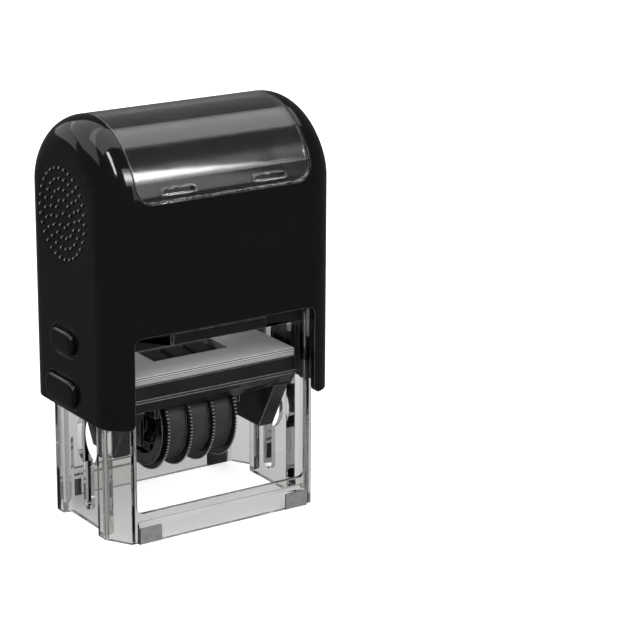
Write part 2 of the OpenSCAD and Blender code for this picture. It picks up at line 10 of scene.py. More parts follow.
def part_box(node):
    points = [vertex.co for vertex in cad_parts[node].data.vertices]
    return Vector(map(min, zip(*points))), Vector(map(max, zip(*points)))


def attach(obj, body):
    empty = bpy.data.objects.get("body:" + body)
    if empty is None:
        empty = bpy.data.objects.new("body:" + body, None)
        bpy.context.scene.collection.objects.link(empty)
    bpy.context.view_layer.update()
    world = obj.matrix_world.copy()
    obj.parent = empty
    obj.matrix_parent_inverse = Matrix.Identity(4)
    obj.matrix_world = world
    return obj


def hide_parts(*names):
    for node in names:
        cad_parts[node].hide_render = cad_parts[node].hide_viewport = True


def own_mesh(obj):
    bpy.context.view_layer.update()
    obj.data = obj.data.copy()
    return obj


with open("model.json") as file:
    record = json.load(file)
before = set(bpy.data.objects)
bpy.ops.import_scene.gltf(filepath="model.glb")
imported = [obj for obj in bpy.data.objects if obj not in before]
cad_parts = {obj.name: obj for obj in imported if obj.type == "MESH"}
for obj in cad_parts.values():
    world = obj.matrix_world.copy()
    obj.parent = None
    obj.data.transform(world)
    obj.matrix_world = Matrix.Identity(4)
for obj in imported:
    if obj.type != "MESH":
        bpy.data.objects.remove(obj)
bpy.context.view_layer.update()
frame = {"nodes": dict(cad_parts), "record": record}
nodes = frame["nodes"]
mm = 0.001
print("frame loaded:", len(nodes), "nodes")


def gridQuads(rows, cols, wrapCols=True):
    # corner numbers of every cell of a rows by cols grid, worked out as one array
    r, c = np.meshgrid(np.arange(rows - 1), np.arange(cols if wrapCols else cols - 1), indexing="ij")
    c2 = (c + 1) % cols
    return np.stack([r * cols + c, r * cols + c2, (r + 1) * cols + c2, (r + 1) * cols + c], -1).reshape(-1, 4)


def meshObject(name, points, faces):
    # points in millimetres become a mesh in metres, with doubles merged and faces turned outwards
    mesh = bpy.data.meshes.new(name)
    mesh.from_pydata((np.asarray(points).reshape(-1, 3) * mm).tolist(), [], faces)
    bm = bmesh.new()
    bm.from_mesh(mesh)
    bmesh.ops.remove_doubles(bm, verts=bm.verts, dist=0.0001 * mm)
    bmesh.ops.recalc_face_normals(bm, faces=bm.faces)
    bm.to_mesh(mesh)
    bm.free()
    obj = bpy.data.objects.new(name, mesh)
    bpy.context.scene.collection.objects.link(obj)
    return obj


def loft(name, rings):
    # closed rings of equal count joined row by row, with one flat face over each end ring
    rows, cols = rings.shape[:2]
    ends = [list(range(cols)), list(range((rows - 1) * cols, rows * cols))]
    return meshObject(name, rings, gridQuads(rows, cols).tolist() + ends)


def shell(name, outer, inner):
    # two open grids of the same count, closed round their rim by strips
    rows, cols = outer.shape[:2]
    count = rows * cols
    skin = gridQuads(rows, cols, wrapCols=False)
    index = np.arange(count).reshape(rows, cols)
    rim = np.concatenate([index[0, :-1], index[:-1, -1], index[-1, :0:-1], index[:0:-1, 0]])
    after = np.roll(rim, -1)
    strip = np.stack([rim, after, after + count, rim + count], -1)
    faces = np.concatenate([skin, skin[:, ::-1] + count, strip])
    return meshObject(name, np.concatenate([outer.reshape(-1, 3), inner.reshape(-1, 3)]), faces.tolist())


def arc(midX, midY, radius, start, end, count):
    # points on a circle, evenly spaced between two angles in degrees
    turn = np.radians(np.linspace(start, end, count))
    return np.stack([midX + radius * np.cos(turn), midY + radius * np.sin(turn)], -1)


def circleLoop(midY, radius, count):
    # a whole circle, without the last point that would repeat the first
    return arc(0, midY, radius, 0, 360 - 360 / count, count)


def stadiumLoop(width, height, count=24):
    # two half circles joined by straight runs
    r = min(width, height) / 2
    if width >= height:
        run = width / 2 - r
        return np.concatenate([arc(run, 0, r, -90, 90, count), arc(-run, 0, r, 90, 270, count)])
    run = height / 2 - r
    return np.concatenate([arc(0, run, r, 0, 180, count), arc(0, -run, r, 180, 360, count)])


def roundedLoop(halfX, halfY, radius, count=12):
    # four quarter circles at the corners of a rectangle
    x, y = halfX - radius, halfY - radius
    return np.concatenate([
        arc(x, y, radius, 0, 90, count), arc(-x, y, radius, 90, 180, count),
        arc(-x, -y, radius, 180, 270, count), arc(x, -y, radius, 270, 360, count)])


def prism(name, loop, low, high, axis):
    # a flat loop carried straight along one axis
    levels = np.array([low, high])[:, None]
    a = np.broadcast_to(loop[None, :, 0], (2, len(loop)))
    b = np.broadcast_to(loop[None, :, 1], (2, len(loop)))
    c = np.broadcast_to(levels, a.shape)
    order = {"x": (c, a, b), "y": (a, c, b), "z": (a, b, c)}[axis]
    return loft(name, np.stack(order, -1))


def carve(obj, steps):
    # each step joins or removes a scratch solid; the result is kept as plain mesh
    for kind, tool in steps:
        change = obj.modifiers.new("carve", "BOOLEAN")
        change.operation = kind
        change.solver = "EXACT"
        change.object = tool
    graph = bpy.context.evaluated_depsgraph_get()
    made = bpy.data.meshes.new_from_object(obj.evaluated_get(graph))
    obj.modifiers.clear()
    obj.data = made
    for kind, tool in steps:
        bpy.data.objects.remove(tool)
    return obj


def finishMesh(obj, sharpAngle=32):
    # smooth shading that breaks at every edge sharper than the angle
    mesh = obj.data
    mesh.polygons.foreach_set("use_smooth", np.ones(len(mesh.polygons), bool))
    mesh.set_sharp_from_angle(angle=math.radians(sharpAngle))
    return obj


def flatKept(obj):
    # where a large face meets small ones, the shared normal follows the large one
    normals = obj.modifiers.new("normals", "WEIGHTED_NORMAL")
    normals.mode = "FACE_AREA"
    normals.weight = 80
    normals.keep_sharp = True
    return obj


def softEdges(obj, width, leastLength=0.0, leastAngle=30):
    # marks the long, clearly folded edges, and rounds those with a narrow live bevel
    mesh = obj.data
    bm = bmesh.new()
    bm.from_mesh(mesh)
    fold = np.array([edge.calc_face_angle(0.0) for edge in bm.edges])
    length = np.array([edge.calc_length() for edge in bm.edges])
    bm.free()
    weight = mesh.attributes.new("bevel_weight_edge", "FLOAT", "EDGE")
    chosen = (fold > math.radians(leastAngle)) & (length > leastLength * mm)
    weight.data.foreach_set("value", chosen.astype(np.float32))
    edge = obj.modifiers.new("edge", "BEVEL")
    edge.width = width * mm
    edge.segments = 2
    edge.limit_method = "WEIGHT"
    edge.use_clamp_overlap = False
    edge.harden_normals = True
    return obj


def settle(obj, body, slotName, material, *replaced):
    # gives a piece its finish, its body and the CAD nodes that it stands for
    obj.data.materials.clear()
    obj.data.materials.append(material)
    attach(obj, body)
    if replaced:
        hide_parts(*replaced)
    return obj


def addNode(tree, kind, values=None, **settings):
    node = tree.nodes.new(kind)
    for key, value in settings.items():
        setattr(node, key, value)
    for key, value in (values or {}).items():
        node.inputs[key].default_value = value
    return node


def newGroup(name, inputs, outputs):
    tree = bpy.data.node_groups.new(name, "ShaderNodeTree")
    for label, value in inputs:
        socket = tree.interface.new_socket(name=label, in_out="INPUT", socket_type="NodeSocketFloat")
        socket.default_value = value
    for label, kind in outputs:
        tree.interface.new_socket(name=label, in_out="OUTPUT", socket_type=kind)
    return tree, tree.nodes.new("NodeGroupInput"), tree.nodes.new("NodeGroupOutput")


def mathNode(tree, operation, first, second=None):
    node = addNode(tree, "ShaderNodeMath", operation=operation)
    for slotNumber, value in enumerate((first, second)):
        if value is None:
            continue
        if isinstance(value, (int, float)):
            node.inputs[slotNumber].default_value = value
        else:
            tree.links.new(value, node.inputs[slotNumber])
    return node.outputs[0]


def patternOn(tree, kind, values=None, **settings):
    # a node whose pattern follows the piece's own coordinates
    node = addNode(tree, kind, values, **settings)
    tree.links.new(addNode(tree, "ShaderNodeTexCoord").outputs["Object"], node.inputs["Vector"])
    return node


def mouldGrainGroup():
    # fine texture of a moulded face, with a slow drift of tone
    tree, given, out = newGroup("mouldGrain", [("Scale", 900.0), ("Drift", 60.0)],
                                [("Height", "NodeSocketFloat"), ("Tone", "NodeSocketFloat")])
    fine = patternOn(tree, "ShaderNodeTexNoise", {"Detail": 3.0, "Roughness": 0.6})
    slow = patternOn(tree, "ShaderNodeTexNoise", {"Detail": 2.0, "Roughness": 0.5, "Distortion": 0.4})
    tree.links.new(given.outputs["Scale"], fine.inputs["Scale"])
    tree.links.new(given.outputs["Drift"], slow.inputs["Scale"])
    tree.links.new(fine.outputs["Fac"], out.inputs["Height"])
    tree.links.new(slow.outputs["Fac"], out.inputs["Tone"])
    return tree


def edgeWearGroup():
    # rounded edge normal, and a broken mask where the edge turns
    tree, given, out = newGroup(
        "edgeWear", [("Radius", 0.0003), ("Break", 500.0), ("Least", 0.03), ("Full", 0.25)],
        [("Normal", "NodeSocketVector"), ("Wear", "NodeSocketFloat")])
    bevel = addNode(tree, "ShaderNodeBevel", samples=6)
    tree.links.new(given.outputs["Radius"], bevel.inputs["Radius"])
    face = addNode(tree, "ShaderNodeNewGeometry")
    dot = addNode(tree, "ShaderNodeVectorMath", operation="DOT_PRODUCT")
    tree.links.new(bevel.outputs["Normal"], dot.inputs[0])
    tree.links.new(face.outputs["Normal"], dot.inputs[1])
    turn = mathNode(tree, "SUBTRACT", 1.0, mathNode(tree, "ABSOLUTE", dot.outputs["Value"]))
    broken = patternOn(tree, "ShaderNodeTexNoise", {"Detail": 3.0, "Roughness": 0.65})
    tree.links.new(given.outputs["Break"], broken.inputs["Scale"])
    ramp = addNode(tree, "ShaderNodeMapRange", {"From Min": 0.4, "From Max": 0.62, "To Min": 0.45}, clamp=True)
    tree.links.new(broken.outputs["Fac"], ramp.inputs["Value"])
    lift = addNode(tree, "ShaderNodeMapRange", clamp=True)
    tree.links.new(turn, lift.inputs["Value"])
    tree.links.new(given.outputs["Least"], lift.inputs["From Min"])
    tree.links.new(given.outputs["Full"], lift.inputs["From Max"])
    tree.links.new(bevel.outputs["Normal"], out.inputs["Normal"])
    tree.links.new(mathNode(tree, "MULTIPLY", lift.outputs[0], ramp.outputs[0]), out.inputs["Wear"])
    return tree


def handMarksGroup():
    # smears of a handled gloss face, as a value for roughness
    tree, given, out = newGroup("handMarks", [("Size", 55.0), ("Low", 0.1), ("High", 0.25)],
                                [("Roughness", "NodeSocketFloat")])
    smear = patternOn(tree, "ShaderNodeTexNoise", {"Detail": 5.0, "Roughness": 0.62, "Distortion": 1.2})
    tree.links.new(given.outputs["Size"], smear.inputs["Scale"])
    spread = addNode(tree, "ShaderNodeMapRange", {"From Min": 0.35, "From Max": 0.7}, clamp=True)
    tree.links.new(smear.outputs["Fac"], spread.inputs["Value"])
    tree.links.new(given.outputs["Low"], spread.inputs["To Min"])
    tree.links.new(given.outputs["High"], spread.inputs["To Max"])
    tree.links.new(spread.outputs[0], out.inputs["Roughness"])
    return tree


def dustGroup():
    # sparse specks, more of them on faces that look up
    tree, given, out = newGroup("dustSpecks", [("Scale", 420.0), ("Amount", 0.5)],
                                [("Mask", "NodeSocketFloat")])
    cell = patternOn(tree, "ShaderNodeTexVoronoi", feature="F1")
    tree.links.new(given.outputs["Scale"], cell.inputs["Scale"])
    speck = addNode(tree, "ShaderNodeMapRange", {"From Min": 0.1, "From Max": 0.04}, clamp=True)
    tree.links.new(cell.outputs["Distance"], speck.inputs["Value"])
    pick = addNode(tree, "ShaderNodeSeparateColor")
    tree.links.new(cell.outputs["Color"], pick.inputs[0])
    few = mathNode(tree, "GREATER_THAN", pick.outputs[0], 0.8)
    face = addNode(tree, "ShaderNodeNewGeometry")
    split = addNode(tree, "ShaderNodeSeparateXYZ")
    tree.links.new(face.outputs["Normal"], split.inputs[0])
    upward = addNode(tree, "ShaderNodeMapRange", {"From Min": -0.2, "From Max": 0.9, "To Min": 0.25}, clamp=True)
    tree.links.new(split.outputs["Z"], upward.inputs["Value"])
    chosen = mathNode(tree, "MULTIPLY", speck.outputs[0], few)
    mask = mathNode(tree, "MULTIPLY", chosen, upward.outputs[0])
    tree.links.new(mathNode(tree, "MULTIPLY", mask, given.outputs["Amount"]), out.inputs["Mask"])
    return tree


groups = {"grain": mouldGrainGroup(), "wear": edgeWearGroup(), "marks": handMarksGroup(), "dust": dustGroup()}
dustColour = (0.32, 0.31, 0.3)


def useGroup(tree, key, values):
    # the group comes first, because its sockets take the values
    return addNode(tree, "ShaderNodeGroup", values, node_tree=groups[key])


def smears(tree, look):
    values = {"Size": look["smear"], "Low": look["rough"][0], "High": look["rough"][1]}
    return useGroup(tree, "marks", values).outputs["Roughness"]


def raiseGrain(tree, surface, look, height, normal=None):
    # the height bends the surface's normal, which may already be rounded at the edges
    bump = addNode(tree, "ShaderNodeBump", {"Strength": look["bump"], "Distance": look["depth"] * mm})
    tree.links.new(height, bump.inputs["Height"])
    if normal is not None:
        tree.links.new(normal, bump.inputs["Normal"])
    tree.links.new(bump.outputs["Normal"], surface.inputs["Normal"])


def blendColour(tree, mask, under, over):
    # under shows where the mask is 0, over where it is 1
    node = addNode(tree, "ShaderNodeMix", data_type="RGBA")
    tree.links.new(mask, node.inputs[0])
    for slotNumber, value in ((6, under), (7, over)):
        if isinstance(value, tuple):
            node.inputs[slotNumber].default_value = (*value, 1.0)
        else:
            tree.links.new(value, node.inputs[slotNumber])
    return node.outputs[2]


def newMaterial(name):
    material = bpy.data.materials.new(name)
    material.use_nodes = True
    tree = material.node_tree
    tree.nodes.clear()
    surface = addNode(tree, "ShaderNodeBsdfPrincipled")
    out = addNode(tree, "ShaderNodeOutputMaterial")
    tree.links.new(surface.outputs[0], out.inputs["Surface"])
    return material, tree, surface, out


def sheetJoinsAndShade(tree, colour, sheetsAndShade):
    # multiplies the colour by a tone that follows the height, which paints shade as well as dark joins
    split = patternOn(tree, "ShaderNodeSeparateXYZ")
    span = {"From Min": sheetsAndShade["low"], "From Max": sheetsAndShade["high"]}
    height = addNode(tree, "ShaderNodeMapRange", span, clamp=True)
    tree.links.new(split.outputs["Z"], height.inputs["Value"])
    ramp = addNode(tree, "ShaderNodeValToRGB")
    stops = ramp.color_ramp.elements
    for number, (spot, tone) in enumerate(sheetsAndShade["tones"]):
        stop = stops[number] if number < len(stops) else stops.new(spot)
        stop.position = spot
        stop.color = (tone, tone, tone, 1.0)
    tree.links.new(height.outputs[0], ramp.inputs[0])
    shade = addNode(tree, "ShaderNodeMix", {0: 1.0}, data_type="RGBA", blend_type="MULTIPLY")
    tree.links.new(colour, shade.inputs[6])
    tree.links.new(ramp.outputs[0], shade.inputs[7])
    return shade.outputs[2]


def mouldedFinish(name, look):
    # body colour drifts in tone, pales at the edges and carries a little dust; on the cap, inner parts and wheels
    # the pale edges are painted highlights, on the other finishes they are wear; the tip mark paints a glint on
    # dot and tooth tips, and the height tones paint shade on the plate's sides
    material, tree, surface, out = newMaterial(name)
    grain = useGroup(tree, "grain", {"Scale": look["grain"], "Drift": look["drift"]})
    wear = useGroup(tree, "wear", {
        "Radius": look["edge"] * mm, "Least": look.get("least", 0.03), "Full": look.get("full", 0.25)})
    dust = useGroup(tree, "dust", {"Amount": look["dust"]})
    body = blendColour(tree, grain.outputs["Tone"], look["colour"], look["light"])
    rubbedAndGlint = mathNode(tree, "MULTIPLY", wear.outputs["Wear"], look["wear"])
    wornAndGlint = blendColour(tree, rubbedAndGlint, body, look["wornAndGlint"])
    # painted glint: a paler colour where the tip mark is high
    if "tip" in look:
        mark = addNode(tree, "ShaderNodeAttribute", attribute_name="tip")
        top = addNode(tree, "ShaderNodeMapRange", {"From Min": look["tipFrom"], "From Max": 1.0}, clamp=True)
        tree.links.new(mark.outputs["Fac"], top.inputs["Value"])
        wornAndGlint = blendColour(tree, top.outputs[0], wornAndGlint, look["tip"])
    # painted shade on the sides, together with dark joins between sheets, by height
    if "sheetsAndShade" in look:
        wornAndGlint = sheetJoinsAndShade(tree, wornAndGlint, look["sheetsAndShade"])
    dusty = blendColour(tree, dust.outputs["Mask"], wornAndGlint, dustColour)
    tree.links.new(dusty, surface.inputs["Base Color"])
    tree.links.new(smears(tree, look), surface.inputs["Roughness"])
    raiseGrain(tree, surface, look, grain.outputs["Height"], wear.outputs["Normal"])
    surface.inputs["Specular IOR Level"].default_value = look.get("specular", 0.5)
    surface.inputs["IOR"].default_value = 1.5
    return material


def clearFinish(name, look):
    # clear moulding: its edges are rounded, rougher and shinier, flow waves and smears break its gloss,
    # it darkens with depth, and the light of the lamps passes through
    material, tree, surface, out = newMaterial(name)
    surface.inputs["Base Color"].default_value = (*look["tint"], 1.0)
    surface.inputs["IOR"].default_value = look["ior"]
    grain = useGroup(tree, "grain", {"Scale": look["wave"], "Drift": look["wave"] / 3})
    wear = useGroup(tree, "wear", {"Radius": look["edge"] * mm, "Least": look["least"], "Full": look["full"]})
    frost = mathNode(tree, "MULTIPLY", wear.outputs["Wear"], look["frost"])
    tree.links.new(mathNode(tree, "MAXIMUM", smears(tree, look), frost), surface.inputs["Roughness"])
    tree.links.new(wear.outputs["Wear"], surface.inputs["Coat Weight"])
    surface.inputs["Coat IOR"].default_value = look["edgeGloss"]
    surface.inputs["Coat Roughness"].default_value = look["edgeRough"]
    surface.inputs["Transmission Weight"].default_value = 1.0
    raiseGrain(tree, surface, look, grain.outputs["Tone"], wear.outputs["Normal"])
    through = addNode(tree, "ShaderNodeBsdfTransparent", {"Color": (*look["shade"], 1.0)})
    path = addNode(tree, "ShaderNodeLightPath")
    mix = addNode(tree, "ShaderNodeMixShader")
    tree.links.new(path.outputs["Is Shadow Ray"], mix.inputs[0])
    tree.links.new(surface.outputs[0], mix.inputs[1])
    tree.links.new(through.outputs[0], mix.inputs[2])
    tree.links.new(mix.outputs[0], out.inputs["Surface"])
    depth = {"Color": (*look["smoke"], 1.0), "Density": look["density"]}
    smoke = addNode(tree, "ShaderNodeVolumeAbsorption", depth)
    tree.links.new(smoke.outputs[0], out.inputs["Volume"])
    return material


def steelFinish(name, look):
    # turned metal: fine lines round the axis from stretched noise, and dulled smears
    material, tree, surface, out = newMaterial(name)
    surface.inputs["Metallic"].default_value = 1.0
    stretch = patternOn(tree, "ShaderNodeMapping", {"Scale": look["stretch"]})
    lines = addNode(tree, "ShaderNodeTexNoise", {"Scale": look["lines"], "Detail": 4.0, "Roughness": 0.7})
    tree.links.new(stretch.outputs[0], lines.inputs["Vector"])
    tone = blendColour(tree, lines.outputs["Fac"], look["dark"], look["light"])
    tree.links.new(tone, surface.inputs["Base Color"])
    tree.links.new(smears(tree, look), surface.inputs["Roughness"])
    raiseGrain(tree, surface, look, lines.outputs["Fac"])
    return material


def feltFinish(name, look):
    # soaked felt: matted fibres of one noise, wetter where they are dark
    material, tree, surface, out = newMaterial(name)
    fibre = patternOn(tree, "ShaderNodeTexNoise", {
        "Scale": look["fibre"], "Detail": 6.0, "Roughness": 0.75, "Distortion": 2.0})
    tone = blendColour(tree, fibre.outputs["Fac"], look["dark"], look["light"])
    tree.links.new(tone, surface.inputs["Base Color"])
    wet = addNode(tree, "ShaderNodeMapRange", {
        "From Min": 0.3, "From Max": 0.7, "To Min": look["rough"][0], "To Max": look["rough"][1]}, clamp=True)
    tree.links.new(fibre.outputs["Fac"], wet.inputs["Value"])
    tree.links.new(wet.outputs[0], surface.inputs["Roughness"])
    raiseGrain(tree, surface, look, fibre.outputs["Fac"])
    surface.inputs["Sheen Weight"].default_value = look["sheen"]
    return material


# the sides of the text plate show its sheets with dark joins between them, and are painted darker than the top as
# shade against the strong front light: height from 0 to 1, and how much of the colour is left there
plateLow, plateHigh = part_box("die_plate")
plateSheetsAndShade = {"low": plateLow.z, "high": plateHigh.z, "tones": (
    (0.0, 0.6), (0.14, 0.6), (0.17, 0.04), (0.34, 0.04), (0.37, 0.9), (0.57, 0.9), (0.6, 0.02), (0.85, 0.02),
    (0.88, 0.9), (1.0, 1.0))}
# looks that more than one finish starts from
# on the cap the pale edges are wear and also a painted highlight along the rims of recesses and buttons
capLook = {
    "colour": (0.0027, 0.0029, 0.0028), "light": (0.0045, 0.0048, 0.0047), "wornAndGlint": (0.14, 0.141, 0.14),
    "grain": 1100.0, "drift": 45.0, "edge": 0.3, "wear": 0.9, "least": 0.01, "full": 0.1,
    "smear": 48.0, "rough": (0.06, 0.13), "dust": 0.12, "bump": 0.02, "depth": 0.02}
# on the inner mouldings the pale edges are a painted highlight: light lines along the edges of the cassette and
# carrier
innerLook = {
    "colour": (0.007, 0.0073, 0.0075), "light": (0.012, 0.0122, 0.0125), "wornAndGlint": (0.3, 0.3, 0.29),
    "grain": 1600.0, "drift": 120.0, "edge": 0.35, "wear": 0.9, "least": 0.003, "full": 0.035,
    "smear": 110.0, "rough": (0.14, 0.24), "dust": 0.06, "bump": 0.03, "depth": 0.02}
# on the wheels the near white edges are a painted highlight: glints on the rims and tooth corners
wheelLook = {
    "colour": (0.004, 0.004, 0.0043), "light": (0.008, 0.008, 0.0083), "wornAndGlint": (0.9, 0.9, 0.88),
    "grain": 2000.0, "drift": 160.0, "edge": 0.14, "wear": 1.0, "least": 0.05, "full": 0.16,
    "smear": 160.0, "rough": (0.12, 0.24), "dust": 0.05, "bump": 0.04, "depth": 0.02}
finishes = {
    "cap_plastic": mouldedFinish("capGloss", capLook),
    "inner_plastic": mouldedFinish("innerSatin", innerLook),
    "wheel_plastic": mouldedFinish("wheelBlack", wheelLook),
    "band_rubber": mouldedFinish("bandRubber", {
        "colour": (0.028, 0.0288, 0.0292), "light": (0.048, 0.049, 0.0495), "wornAndGlint": (0.085, 0.086, 0.087),
        "grain": 2200.0, "drift": 190.0, "edge": 0.2, "wear": 0.5, "smear": 240.0, "rough": (0.42, 0.6),
        "dust": 0.12, "bump": 0.35, "depth": 0.03, "specular": 0.45}),
    "foot_rubber": mouldedFinish("footRubber", {
        "colour": (0.14, 0.147, 0.144), "light": (0.3, 0.31, 0.305), "wornAndGlint": (0.38, 0.39, 0.385),
        "grain": 2200.0, "drift": 620.0, "edge": 0.25, "wear": 0.5, "smear": 260.0, "rough": (0.5, 0.8),
        "dust": 0.4, "bump": 0.4, "depth": 0.04}),
    "die_white": mouldedFinish("plateWhite", {
        "colour": (0.78, 0.78, 0.775), "light": (0.86, 0.86, 0.855), "wornAndGlint": (0.62, 0.62, 0.61),
        "grain": 1800.0, "drift": 90.0, "edge": 0.15, "wear": 0.4, "smear": 90.0, "rough": (0.35, 0.5),
        "dust": 0.15, "bump": 0.08, "depth": 0.03, "sheetsAndShade": plateSheetsAndShade}),
    "die_foam": mouldedFinish("dieFoam", {
        "colour": (0.3, 0.3, 0.29), "light": (0.42, 0.42, 0.405), "wornAndGlint": (0.5, 0.5, 0.485),
        "grain": 2600.0, "drift": 300.0, "edge": 0.15, "wear": 0.3, "smear": 260.0, "rough": (0.7, 0.9),
        "dust": 0.1, "bump": 0.5, "depth": 0.06}),
    "clear_base": clearFinish("baseClear", {
        "tint": (0.9, 0.91, 0.895), "ior": 1.49, "shade": (0.9, 0.905, 0.895),
        "smear": 70.0, "rough": (0.0, 0.025), "wave": 150.0, "bump": 0.04, "depth": 0.2,
        "smoke": (0.5, 0.52, 0.49), "density": 40.0,
        "edge": 0.35, "frost": 0.25, "edgeGloss": 2.0, "edgeRough": 0.45, "least": 0.03, "full": 0.25}),
    "window_clear": clearFinish("windowClear", {
        "tint": (0.78, 0.79, 0.785), "ior": 1.5, "shade": (0.85, 0.86, 0.86),
        "smear": 60.0, "rough": (0.055, 0.11), "wave": 90.0, "bump": 0.02, "depth": 0.2,
        "smoke": (0.5, 0.5, 0.5), "density": 60.0,
        "edge": 0.22, "frost": 0.4, "edgeGloss": 3.6, "edgeRough": 0.4, "least": 0.002, "full": 0.02}),
    "pin_steel": steelFinish("pinSteel", {
        "dark": (0.42, 0.42, 0.43), "light": (0.62, 0.62, 0.63), "stretch": (6.0, 1.0, 1.0), "lines": 700.0,
        "smear": 160.0, "rough": (0.22, 0.38), "bump": 0.25, "depth": 0.01}),
    "spring_steel": steelFinish("springSteel", {
        "dark": (0.38, 0.38, 0.39), "light": (0.58, 0.58, 0.59), "stretch": (1.0, 1.0, 1.0), "lines": 1500.0,
        "smear": 160.0, "rough": (0.25, 0.42), "bump": 0.25, "depth": 0.01}),
    "ink_felt": feltFinish("inkFelt", {
        "dark": (0.006, 0.006, 0.012), "light": (0.022, 0.022, 0.034), "fibre": 1400.0,
        "rough": (0.45, 0.9), "bump": 0.7, "depth": 0.12, "sheen": 0.3}),
}
# painted highlight: the beads are a lighter grey than the tray, to stand for the highlight lines on its ridge
ridgePaintedHighlightFinish = mouldedFinish("ridgeSatinPaintedHighlight", {
    **innerLook, "colour": (0.08, 0.08, 0.077), "light": (0.17, 0.17, 0.165), "wornAndGlint": (0.25, 0.25, 0.24),
    "drift": 260.0, "edge": 0.05, "wear": 0.2, "least": 0.03, "full": 0.25, "rough": (0.12, 0.2), "dust": 0.0})
# painted glint: the dots' tips are coloured paler to stand for their highlights
dotPaintedGlintFinish = mouldedFinish("dotGlossPaintedGlint", {
    **capLook, "edge": 0.1, "wear": 0.0, "rough": (0.08, 0.16), "dust": 0.0,
    "tip": (0.42, 0.425, 0.42), "tipFrom": 0.8})
# painted glint: the tips of the teeth are coloured paler to stand for their highlights
toothPaintedGlintFinish = mouldedFinish("toothBlackPaintedGlint", {
    **wheelLook, "edge": 0.05, "wear": 0.0, "tip": (0.3, 0.3, 0.29), "tipFrom": 0.6})
for row in frame["record"]["subparts"]:
    mesh = nodes[row["node"]].data
    mesh.materials.clear()
    mesh.materials.append(finishes[row["material_slot"]])
print("finishes made:", len(finishes))

# cap shell: sizes in millimetres
capForm = {
    "halfX": 34.0, "halfY": 22.0, "top": 108.4, "foot": 31.6, "endR": 8.0, "archRise": 19.6, "shoulderR": 16.0,
    "wall": 1.8, "roof": 3.4, "cavityTop": 88.0, "vaultR": 19.2, "vaultX": 29.2, "seatR": 8.5, "seatTop": 102.6,
    "viewX": 26.9, "viewTop": 55.4, "viewR": 2.0, "flareR": 2.0, "flareSink": 0.05, "flareTurn": 268,
    "fingerR": 14.4, "fingerY": 1.35, "fingerZ": 83.7, "fingerDepth": 0.6, "fingerCore": 0.2,
    "fingerPast": 1.15,
    "clipFace": (15.7, 7.2), "clipY": 3.3, "clipZ": 36.6, "clipRim": 0.8, "clipDepth": 0.6,
    "lockFace": (11.6, 6.0), "lockY": 1.8, "lockZ": 50.2, "lockRim": 1.2, "lockDepth": 0.5, "lockClear": 0.2,
    "boreR": 1.9, "over": 2.0,
    "endSteps": 17, "archSteps": 121, "bendSteps": 9, "dishSteps": (26, 120), "sharp": 28,
}
archZ = capForm["top"] - capForm["archRise"]
shoulderY = capForm["halfY"] - capForm["shoulderR"]
crownR = ((capForm["halfY"] ** 2 + capForm["archRise"] ** 2 - 2 * capForm["halfY"] * capForm["shoulderR"])
          / (2 * (capForm["archRise"] - capForm["shoulderR"])))
crownZ = capForm["top"] - crownR
crownTurn = math.degrees(math.atan2(shoulderY, archZ - crownZ))


def archPoint(turn, inset):
    # a wide crown circle runs into a smaller shoulder circle where both share a tangent
    crown = np.abs(turn) <= crownTurn
    radius = np.where(crown, crownR, capForm["shoulderR"]) - inset
    midY = np.where(crown, 0.0, np.sign(turn) * shoulderY)
    midZ = np.where(crown, crownZ, archZ)
    a = np.radians(turn)
    return midY + radius * np.sin(a), midZ + radius * np.cos(a)


def capOutside():
    # the arch outline carried along X, drawn in towards each end on a quarter circle
    quarter = np.linspace(0, 90, capForm["endSteps"])
    swing = np.concatenate([-quarter[::-1], quarter])
    side = np.repeat([-1.0, 1.0], len(quarter))
    x = side * (capForm["halfX"] - capForm["endR"]) + capForm["endR"] * np.sin(np.radians(swing))
    inset = (capForm["endR"] * (1 - np.cos(np.radians(swing))))[:, None]
    turn = np.linspace(90, -90, capForm["archSteps"])
    y, z = archPoint(np.broadcast_to(turn, (len(swing), len(turn))), inset)
    wall = capForm["halfY"] - inset
    y = np.concatenate([wall, y, -wall], 1)
    foot = np.full_like(wall, capForm["foot"])
    z = np.concatenate([foot, z, foot], 1)
    return loft("capShell", np.stack([np.broadcast_to(x[:, None], y.shape), y, z], -1))


windowForm = {
    "halfX": 25.5, "foot": 89.5, "cornerR": 4.5, "thick": 1.2, "clear": 0.2, "above": 0.6,
    "slotX": 13.3, "slotZ": 91.9, "slot": (9.3, 1.2), "slotReach": 30.0, "slotSteps": 9,
    "rows": 141, "cols": 25, "sharp": 40, "edge": 0.22, "edgeAngle": 50,
}


def windowGrid(inset, clear):
    # rows follow the arch and crowd towards both feet, where each row's half width follows the corner circle
    foot = windowForm["foot"] - clear
    corner = windowForm["cornerR"] + clear
    limit = math.degrees(math.acos((foot - archZ) / (capForm["shoulderR"] - inset)))
    turn = limit * np.sin(np.linspace(-90, 90, windowForm["rows"]) * math.pi / 180)
    y, z = archPoint(turn, inset)
    drop = np.clip(foot + corner - z, 0, corner)
    half = windowForm["halfX"] + clear - corner + np.sqrt(corner ** 2 - drop ** 2)
    x = half[:, None] * np.linspace(-1, 1, windowForm["cols"])
    return np.stack([x, np.broadcast_to(y[:, None], x.shape), np.broadcast_to(z[:, None], x.shape)], -1)


def gateLoop():
    # upright sides, round upper corners, and feet that flare out on a quarter circle
    x, top, r = capForm["viewX"], capForm["viewTop"], capForm["viewR"]
    foot, flare, count = capForm["foot"], capForm["flareR"], capForm["bendSteps"]
    right = np.concatenate([
        [[x + flare, foot - capForm["over"]]],
        arc(x + flare, foot + flare - capForm["flareSink"], flare, capForm["flareTurn"], 180, count),
        arc(x - r, top - r, r, 0, 90, count)])
    return np.concatenate([right, right[::-1] * [-1, 1]])


